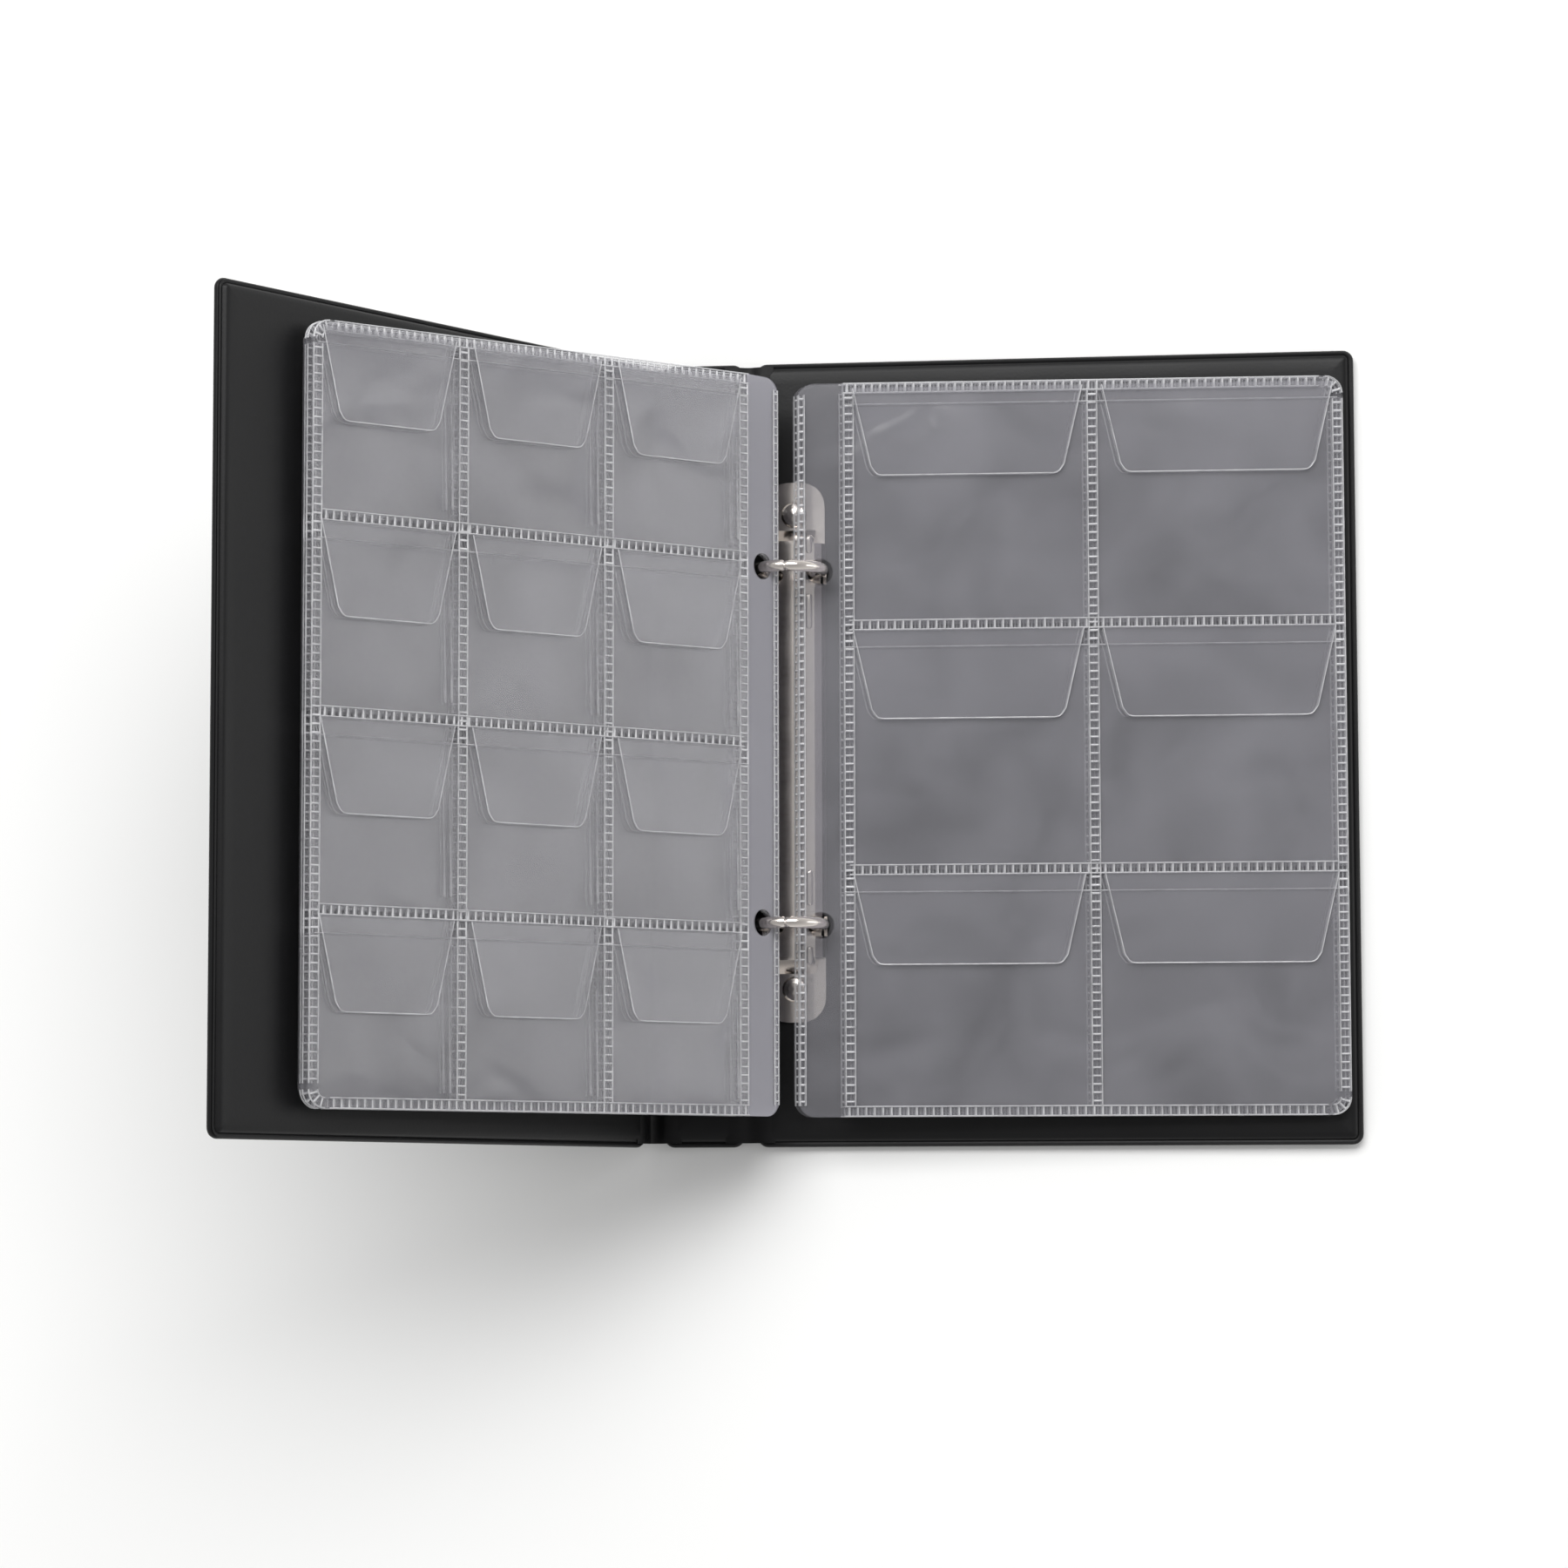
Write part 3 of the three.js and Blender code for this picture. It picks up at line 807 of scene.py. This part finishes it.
    def bead(self, draft: Draft, x: float, y0: float, y1: float) -> None:
        """Draws one rounded bead along Y on the housing's arch.

        Args:
            draft: the mesh being drawn.
            x: its distance from the housing's axis.
            y0, y1: its two ends, in either order.
        """
        z, slope = self.housing_top(x)
        half = self.bead_width / 2
        low, high = sorted((y0, y1))
        sections = []
        for inset, rise in self.bead_profile:
            outline = rounded(-half + inset, half - inset, low + inset, high - inset,
                              [max(half - inset, self.least_corner)] * 4)
            sections.append([(self.centre.x + x + dx, y, z + slope * dx + rise) for dx, y, _ in outline])
        draft.loft(sections)

    def build(self) -> None:
        """Builds the rings and beads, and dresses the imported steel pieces."""
        for y in (self.spacing / 2, -self.spacing / 2):
            for side in (-1, 1):
                self.build_half(side, y)
        self.build_beads()
        for node, bevel in self.bevels:
            dress(node, self.nickel, bevel)


# ---- pocket pages ----
class Hand(Enum):
    """The pile that a page lies in."""

    LEFT = "left"
    RIGHT = "right"


@dataclass
class PocketPage:
    """One welded page: a punched back film, pocket strips, flaps and the beaded welds."""

    hand: Hand
    number: int
    gutter: Vector  # the punched edge, on the film's middle plane
    margin_angle: float  # degrees from +X to the punched margin
    panel_angle: float  # degrees from +X to the pockets
    columns: int
    rows: int
    film: bpy.types.Material
    # finish of the welds, also used for the painted highlights on cut edges and creases
    weld_and_highlight_finish: bpy.types.Material
    flap_film: bpy.types.Material
    lifting_flaps: bool = False
    width: float = 123.0
    half_height: float = 83.0
    corner: float = 4.0
    margin: float = 10.5
    hole_radius: float = 3.0
    hole_inset: float = 5.2
    hole_spacing: float = 80.0
    hole_sides: int = 32
    film_thick: float = 0.25
    pocket_thick: float = 0.2
    back_low: float = -0.375
    pocket_low: float = 0.175
    flap_low: float = 0.62
    mouth: float = 5.0
    flap_depth: float = 20.0
    flap_top_inset: float = 2.2
    flap_tip_inset: float = 6.8
    flap_hang: float = 1.3
    flap_curve: float = 2.0  # size of the round corners at its tip
    # shares of that, in and up, round such a corner
    flap_corner: tuple[tuple[float, float], ...] = ((0.25, 0.3), (0.55, 0.08), (1.0, 0.0))
    rim: float = 0.28  # width of the painted highlight along the cut edge round a flap
    rim_rise: float = 0.15
    rim_sunk: float = 0.1
    weld_width: float = 2.5
    weld_pitch: float = 1.85
    weld_sunk: float = 0.15  # how deep a bead's foot lies in the film
    gutter_weld: float = 1.0  # gutter edge to the middle of its narrow weld
    gutter_clear: float = 1.3  # left between that weld and the corners
    gutter_foot: float = 0.2  # its foot over the back film's underside
    rail: float = 0.36
    rung: float = 0.5
    bead_rise: float = 0.3
    rung_rise: float = 0.8  # share of the rail's height
    corner_steps: int = 6
    # width and height of the whitish bar along each pocket's mouth, a painted highlight on its cut edge
    cut_edge_highlight: float = 0.3
    # the creases beside the inner welds are whitish beads: real creases carrying a painted highlight
    crease: float = 0.5
    crease_lean: float = 0.02
    crease_foot: float = 1.5  # weld widths from the row's lower weld to the crease
    crease_stops: tuple[float, float] = (5.0, 13.0)  # mm up from its foot, where it narrows
    crease_shares: tuple[float, float, float] = (1.4, 0.9, 0.5)  # of its width, below and above them
    crease_rise: float = 0.35  # height as a share of its width
    puff: float = 0.22  # how far a pocket's face bellies out
    puff_edge: float = 0.5  # how roundly it leaves the welds; 1 is a plain sine
    wave: float = 0.07
    wave_edge: float = 0.6  # the same for the waves
    page_phase: float = 1.7  # radians that set one page's waves apart from the next one's
    pile_phase: float = 0.9  # and the left pile's from the right's
    long_wave: tuple[float, float] = (7.3, 9.1)  # mm for a radian, across and along
    short_wave: tuple[float, float] = (3.9, 12.7)
    short_share: float = 0.5
    grid: float = 3.0  # mm between the mesh lines of a wavy film

    @property
    def body(self) -> str:
        """The body that the page moves with."""
        return f"{self.hand.value}_sheet_{self.number}"

    def place(self, u: float, v: float, w: float) -> Point:
        """Turns a place on the flat page into the album's frame.

        Args:
            u: distance from the gutter edge.
            v: distance up from the middle.
            w: height over the film's middle plane, towards the reader.

        Returns:
            The point in the album's frame.
        """
        near = math.radians(self.margin_angle)
        far = math.radians(self.panel_angle)
        lean = near if u < self.margin else far
        if abs(u - self.margin) < SAME_PLACE:
            lean = (near + far) / 2
        x = self.gutter.x + min(u, self.margin) * math.cos(near)
        z = self.gutter.z + min(u, self.margin) * math.sin(near)
        x += max(u - self.margin, 0) * math.cos(far)
        z += max(u - self.margin, 0) * math.sin(far)
        up = 1 if self.hand is Hand.LEFT else -1
        return (x + up * w * math.sin(lean), v, z - up * w * math.cos(lean))

    @property
    def column_lines(self) -> list[float]:
        """The welds that run up the page."""
        return steps(self.margin, self.width, self.columns)

    @property
    def row_lines(self) -> list[float]:
        """The welds that run across the page, from the top."""
        return steps(self.half_height, -self.half_height, self.rows)

    def edge_limit(self, u: float) -> float:
        """Gives half the page's height at `u` from the gutter, inside its round corner."""
        over = max(u - (self.width - self.corner), 0)
        return self.half_height - (self.corner - math.sqrt(max(self.corner ** 2 - over ** 2, 0)))

    def belly(self, u: float, v: float) -> float:
        """Gives the film's soft waves, which are still at the welds.

        Args:
            u: distance from the gutter edge.
            v: distance up from the middle.

        Returns:
            How far it stands off its flat place, as a share of `wave`.
        """
        column = (u - self.margin) / ((self.width - self.margin) / self.columns)
        row = (self.half_height - v) / (2 * self.half_height / self.rows)
        calm = abs(math.sin(math.pi * column) * math.sin(math.pi * row)) ** self.wave_edge
        phase = self.page_phase * self.number + (self.pile_phase if self.hand is Hand.LEFT else 0.0)
        across, along = self.long_wave
        ripple = math.sin(u / across + phase) * math.cos(v / along - 2 * phase)
        across, along = self.short_wave
        ripple += self.short_share * math.sin(u / across - v / along + phase)
        return calm * ripple

    def film_slab(self, draft: Draft, u0: float, u1: float, v0: float, v1: float, low: float,
                  thick: float, puff: float) -> None:
        """Draws one wavy film over part of the page.

        Args:
            draft: the mesh being drawn.
            u0, u1: its left and right sides.
            v0, v1: its bottom and top.
            low: height of its underside.
            thick: its thickness.
            puff: how far it bellies out.
        """
        us = steps(u0, u1, max(1, round((u1 - u0) / self.grid)))
        vs = steps(v0, v1, max(1, round((v1 - v0) / self.grid)))

        def under(u: float, v: float, layer: float) -> Point:
            """Finds a point of the film, kept inside the page's round corners.

            Args:
                u, v: its place on the page.
                layer: its height over the film's underside.

            Returns:
                The point on the flat page.
            """
            limit = self.edge_limit(u)
            lift = self.belly(u, v) * self.wave
            middle = math.sin(math.pi * (u - u0) / (u1 - u0)) * math.sin(math.pi * (v - v0) / (v1 - v0))
            return (u, min(max(v, -limit), limit), low + layer + lift + puff * abs(middle) ** self.puff_edge)

        draft.slab(us, vs, under, thick)

    def build_back(self) -> None:
        """Builds the punched back film."""
        draft = Draft(self.place)
        outline = rounded(0, self.margin, -self.half_height, self.half_height,
                          [self.corner, 0, 0, self.corner], self.back_low)
        clean = [p for i, p in enumerate(outline) if i == 0 or math.dist(p, outline[i - 1]) > SAME_PLACE]
        holes = []
        for v in (-self.hole_spacing / 2, self.hole_spacing / 2):
            angles = [2 * math.pi * k / self.hole_sides for k in range(self.hole_sides)]
            holes.append([(self.hole_inset + self.hole_radius * math.cos(a),
                           v + self.hole_radius * math.sin(a), self.back_low) for a in angles])
        draft.punched_plate(clean, holes, self.film_thick)
        self.film_slab(draft, self.margin, self.width, -self.half_height, self.half_height,
                       self.back_low, self.film_thick, 0.0)
        nodes = [f"{self.body}_back_film"]
        if self.hand is Hand.LEFT:
            nodes.append(f"{self.body}_margin")
        settle(draft.build(f"{self.body}_back", self.film, FILM_EDGE), self.body, "clear_film", *nodes)

    def build_pockets(self) -> None:
        """Builds a film strip for each row of pockets, open along its top."""
        draft = Draft(self.place)
        for top, bottom in zip(self.row_lines, self.row_lines[1:]):
            for left, right in zip(self.column_lines, self.column_lines[1:]):
                self.film_slab(draft, left, right, bottom, top - self.mouth, self.pocket_low,
                               self.pocket_thick, self.puff)
        settle(draft.build(f"{self.body}_pockets", self.film, FILM_EDGE), self.body, "clear_film",
               f"{self.body}_pocket_film")

    def flap_outline(self, left: float, right: float, top: float) -> list[tuple[float, float]]:
        """Draws a flap's edge: wide at the weld, narrow and round-cornered at the tip.

        Args:
            left, right: the welds on either side of its pocket.
            top: the weld that it hangs from.

        Returns:
            Its outline on the flat page.
        """
        hung, tip = top - self.flap_hang, top - self.flap_hang - self.flap_depth
        slant = (self.flap_tip_inset - self.flap_top_inset) / self.flap_depth
        low, curve = left + self.flap_tip_inset, self.flap_curve
        edge = [(left + self.flap_top_inset, hung), (low - curve * slant, tip + curve)]
        edge += [(low + across * curve, tip + up * curve) for across, up in self.flap_corner]
        mirrored = [(left + right - u, v) for u, v in reversed(edge)]
        return edge + mirrored

    def draw_flap(self, draft: Draft, rims: Draft, left: float, right: float, top: float) -> None:
        """Draws one flap and the painted highlight along the cut edge that runs round it.

        Args:
            draft: the flap's mesh.
            rims: the mesh of the painted highlight along the cut edge.
            left, right: the welds on either side of its pocket.
            top: the weld that it hangs from.
        """
        outline = self.flap_outline(left, right, top)
        high = self.flap_low + self.pocket_thick
        draft.loft([[(u, v, w) for u, v in outline] for w in (self.flap_low, high)])
        # whitish bars along the cut edge: a painted highlight
        foot = high - self.rim_sunk
        for start, end in zip(outline, outline[1:]):
            rims.bar((*start, foot), (*end, foot), self.rim, self.rim_rise)

    def build_flaps(self) -> None:
        """Builds the flaps, each on its own body where it lifts."""
        joined, rims = Draft(self.place), Draft(self.place)
        for r, top in enumerate(self.row_lines[:-1], 1):
            for c, (left, right) in enumerate(zip(self.column_lines, self.column_lines[1:])):
                if not self.lifting_flaps:
                    self.draw_flap(joined, rims, left, right, top)
                    continue
                body = f"flap_row_{r}_{('left', 'right')[c]}"
                flap, edge = Draft(self.place), Draft(self.place)
                self.draw_flap(flap, edge, left, right, top)
                settle(flap.build(f"{body}_film", self.flap_film), body, "clear_film", body)
                settle(edge.build(f"{body}_cut_edge_highlight", self.weld_and_highlight_finish), body, "clear_film")
        if not self.lifting_flaps:
            settle(joined.build(f"{self.body}_flaps", self.flap_film), self.body, "clear_film")
            settle(rims.build(f"{self.body}_flap_edge_highlights", self.weld_and_highlight_finish), self.body, "clear_film")

    def ladder(self, draft: Draft, start: tuple[float, float], end: tuple[float, float], base: float,
               width: float | None = None) -> None:
        """Draws one weld: two fine rails with rungs at the welding wheel's pitch.

        Args:
            draft: the mesh being drawn.
            start: one end of the weld's middle line.
            end: the other end.
            base: height of its foot.
            width: its width, or the page's usual weld where it isn't given.
        """
        a, b = Vector((*start, base)), Vector((*end, base))
        run = (b - a).normalized()
        side = Vector((-run.y, run.x, 0))
        reach = (width or self.weld_width) / 2 - self.rail / 2
        for sign in (-1, 1):
            draft.bar(tuple(a + side * sign * reach), tuple(b + side * sign * reach), self.rail,
                      self.bead_rise)
        count = int((b - a).length / self.weld_pitch)
        for i in range(count):
            middle = a + run * (i + 0.5) * (b - a).length / count
            arm = side * (reach - self.rail / 2)
            draft.bar(tuple(middle - arm), tuple(middle + arm), self.rung,
                      self.bead_rise * self.rung_rise)

    def corner_weld(self, draft: Draft, sign: int, base: float) -> None:
        """Carries the weld round one outer corner of the page.

        Args:
            draft: the mesh being drawn.
            sign: 1 for the upper corner, -1 for the lower.
            base: height of the weld's foot.
        """
        centre = Vector((self.width - self.corner, sign * (self.half_height - self.corner), base))
        angles = [math.radians(a) for a in steps(0, 90, self.corner_steps)]
        spokes = [Vector((math.cos(a), sign * math.sin(a), 0)) for a in angles]
        outer = self.corner - self.rail / 2
        inner = self.corner - self.weld_width + self.rail / 2
        for reach in (outer, inner):
            for a, b in zip(spokes, spokes[1:]):
                draft.bar(tuple(centre + a * reach), tuple(centre + b * reach), self.rail, self.bead_rise)
        for spoke in spokes[1:-1:2]:
            draft.bar(tuple(centre + spoke * inner), tuple(centre + spoke * outer), self.rung,
                      self.bead_rise * self.rung_rise)

    def crease_highlights(self, draft: Draft, base: float) -> None:
        """Draws the crease that the film keeps beside each pocket's inner weld, widest at its foot, as a
        whitish bead that paints its highlight.

        Args:
            draft: the mesh being drawn.
            base: height of the crease's foot.
        """
        for top, bottom in zip(self.row_lines, self.row_lines[1:]):
            low = bottom + self.crease_foot * self.weld_width
            stops = [low, *(low + stop for stop in self.crease_stops),
                     top - self.mouth - self.flap_depth / 2]
            for weld in self.column_lines[:-1]:
                u = weld + self.weld_width + self.crease / 2
                for v0, v1, share in zip(stops, stops[1:], self.crease_shares):
                    lean = (v0 - low) * self.crease_lean
                    draft.bar((u + lean, v0, base), (u + (v1 - low) * self.crease_lean, v1, base),
                              self.crease * share, self.crease * self.crease_rise)

    def build_welds(self) -> None:
        """Builds the beaded welds round the page and between its pockets, and the painted highlight along
        each mouth's cut edge.
        """
        draft = Draft(self.place)
        half = self.weld_width / 2
        base = self.pocket_low + self.pocket_thick - self.weld_sunk
        top, side = self.half_height - half, self.width - half
        for u in self.column_lines[:-1]:
            shift = half if u == self.margin else 0.0
            self.ladder(draft, (u + shift, -top + half), (u + shift, top - half), base)
        self.ladder(draft, (side, -top + self.corner), (side, top - self.corner), base)
        for v in self.row_lines[1:-1]:
            self.ladder(draft, (self.margin + half, v), (side - half, v), base)
        for v in (-top, top):
            self.ladder(draft, (self.margin, v), (side - self.corner, v), base)
        for sign in (-1, 1):
            self.corner_weld(draft, sign, base)
        line, end = self.gutter_weld, top - self.gutter_clear
        self.ladder(draft, (line, -end), (line, end), self.back_low + self.gutter_foot,
                    2 * line - self.rail)
        # a whitish bar along each pocket's mouth: painted highlight on the cut edge
        for row in self.row_lines[:-1]:
            v = row - self.mouth
            draft.bar((self.margin, v, base), (side, v, base), self.cut_edge_highlight, self.cut_edge_highlight)
        # creases in the whitish weld finish: painted highlights on real creases
        if self.hand is Hand.LEFT:
            self.crease_highlights(draft, base)
        settle(draft.build(f"{self.body}_welds", self.weld_and_highlight_finish, SOFT_EDGE), self.body, "clear_film")

    def build(self) -> None:
        """Builds the whole page."""
        self.build_back()
        self.build_pockets()
        self.build_flaps()
        self.build_welds()


@dataclass
class Pages:
    """The three pages in each pile, threaded on the rings."""

    film: bpy.types.Material
    # finish of the welds, also used for the painted highlights on cut edges and creases
    weld_and_highlight_finish: bpy.types.Material
    flap_film: bpy.types.Material
    left_leans: tuple[tuple[float, float], ...] = ((125.0, 137.0), (135.0, 136.8), (145.0, 136.2))
    left_gutter: float = 3.3  # ring centre to the punched edge
    right_holes: tuple[tuple[float, float], ...] = ((6.75, 11.1), (6.4, 10.1), (5.5, 9.1))
    right_slope: float = -2.48
    hole_inset: float = 5.2
    left_grid: tuple[int, int] = (3, 4)
    right_grid: tuple[int, int] = (2, 3)

    def build(self) -> None:
        """Builds both piles."""
        centre = joint_centre("left_sheet_1_turn")
        for number, (margin, panel) in enumerate(self.left_leans, 1):
            lean = math.radians(margin)
            gutter = centre + Vector((math.cos(lean), 0, math.sin(lean))) * self.left_gutter
            PocketPage(Hand.LEFT, number, gutter, margin, panel, *self.left_grid, self.film,
                       self.weld_and_highlight_finish, self.flap_film).build()
        slope = math.radians(self.right_slope)
        for number, (hole, height) in enumerate(self.right_holes, 1):
            back = Vector((math.cos(slope), 0, math.sin(slope))) * self.hole_inset
            gutter = Vector((centre.x + hole, 0, height)) - back
            PocketPage(Hand.RIGHT, number, gutter, self.right_slope, self.right_slope, *self.right_grid,
                       self.film, self.weld_and_highlight_finish, self.flap_film, lifting_flaps=number == 1).build()


# ---- studio ----
@dataclass(frozen=True)
class Softbox:
    """A soft rectangular light, its lengths in metres."""

    name: str
    at: Point
    aim: Point
    size: tuple[float, float]
    watts: float

    def build(self) -> None:
        """Adds the light."""
        data = bpy.data.lights.new(self.name, "AREA")
        data.shape, data.size, data.size_y, data.energy = "RECTANGLE", *self.size, self.watts
        light = bpy.data.objects.new(self.name, data)
        light.location = self.at
        way = Vector(self.aim) - Vector(self.at)
        light.rotation_euler = way.to_track_quat("-Z", "Y").to_euler()
        bpy.context.scene.collection.objects.link(light)


@dataclass
class Studio:
    """Pale floor, soft light and the camera above the album."""

    camera_at: Point = (68.149, -110.861, 1079.006)
    camera_turn: Point = (-0.095, -0.12, 0.008)
    lens: float = 110.21
    sensor: float = 36.0
    clip: tuple[float, float] = (0.01, 50.0)  # metres that the camera sees between
    floor: str = "#f4f4f3"
    floor_roughness: float = 0.8
    floor_span: float = 3000.0
    floor_corner: float = 40.0
    floor_heights: tuple[float, float] = (-20.0, -0.6)
    sky_low: float = 0.72  # brightness of the walls round the album
    sky_high: float = 0.44  # brightness overhead, where the flat pages look
    sky_band: tuple[float, float] = (0.25, 0.85)  # sines of elevation where the one turns to the other
    film_faces: int = 18  # film faces that light may cross, down to the housing and back
    softboxes: tuple[Softbox, ...] = (
        Softbox("overhead_softbox", (-0.1, 0.9, 1.4), (0, 0, 0), (1.6, 0.9), 26),
        Softbox("low_right_softbox", (1.4, 0.15, 0.35), (-0.15, 0, 0.05), (0.45, 0.9), 2.5))

    def build_camera(self) -> None:
        """Adds the camera."""
        data = bpy.data.cameras.new("camera")
        data.lens, data.sensor_width = self.lens, self.sensor
        data.clip_start, data.clip_end = self.clip
        camera = bpy.data.objects.new("camera", data)
        turn = Vector(self.camera_turn)
        seen = Matrix.Rotation(turn.length, 4, turn.normalized()).transposed()
        camera.matrix_world = Matrix.Translation(Vector(self.camera_at) * MM) @ seen
        bpy.context.scene.collection.objects.link(camera)
        bpy.context.scene.camera = camera

    def build(self) -> None:
        """Builds the floor, the world and the lights."""
        world = bpy.data.worlds.new("studio")
        world.use_nodes = True
        tree = world.node_tree
        tree.nodes.clear()
        way = add_node(tree, "ShaderNodeTexCoord").outputs["Generated"]
        height = add_node(tree, "ShaderNodeSeparateXYZ", {}, {0: way}).outputs["Z"]
        glow = add_node(tree, "ShaderNodeMapRange",
                        {"From Min": self.sky_band[0], "From Max": self.sky_band[1],
                         "To Min": self.sky_low, "To Max": self.sky_high}, {"Value": height})
        air = add_node(tree, "ShaderNodeBackground", {"Color": (1, 1, 1, 1)},
                       {"Strength": glow.outputs[0]})
        add_node(tree, "ShaderNodeOutputWorld", {}, {"Surface": air.outputs[0]})
        bpy.context.scene.world = world
        bpy.context.scene.view_settings.view_transform = "Standard"
        bpy.context.scene.cycles.transparent_max_bounces = self.film_faces
        draft, span = Draft(), self.floor_span
        draft.loft([rounded(-span, span, -span, span, [self.floor_corner] * 4, z)
                    for z in self.floor_heights])
        material, tree = blank("pale_floor")
        shader = add_node(tree, "ShaderNodeBsdfPrincipled", {"Base Color": linear(self.floor),
                                                             "Roughness": self.floor_roughness})
        add_node(tree, "ShaderNodeOutputMaterial", {}, {"Surface": shader.outputs[0]})
        draft.build("floor", material)
        for softbox in self.softboxes:
            softbox.build()


def main() -> None:
    """Builds the album and its studio, in order."""
    logging.basicConfig(level=logging.INFO, format="%(name)s: %(message)s")
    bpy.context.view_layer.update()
    studio = Studio()
    studio.build_camera()
    Covers(CalenderedVinyl().material(), PressedGreyboard().material()).build()
    RingMechanism(BrightNickel().material()).build()
    film = ClearVinylFilm("clear_vinyl_film").material()
    # whitish film for the welds; the same finish paints the highlights on the cut edges and creases
    weld_and_highlight_material = ClearVinylFilm("heat_welded_vinyl_and_painted_highlights", colour="#f4f4f6", haze_and_sheen=0.34, sheen_swing=0.3, patch=4.0,
                            ripple=0.8).material()
    flap = ClearVinylFilm("clear_vinyl_flap", haze_and_sheen=0.03, sheen_swing=0.3).material()
    Pages(film, weld_and_highlight_material, flap).build()
    studio.build()


if __name__ == "__main__":
    main()
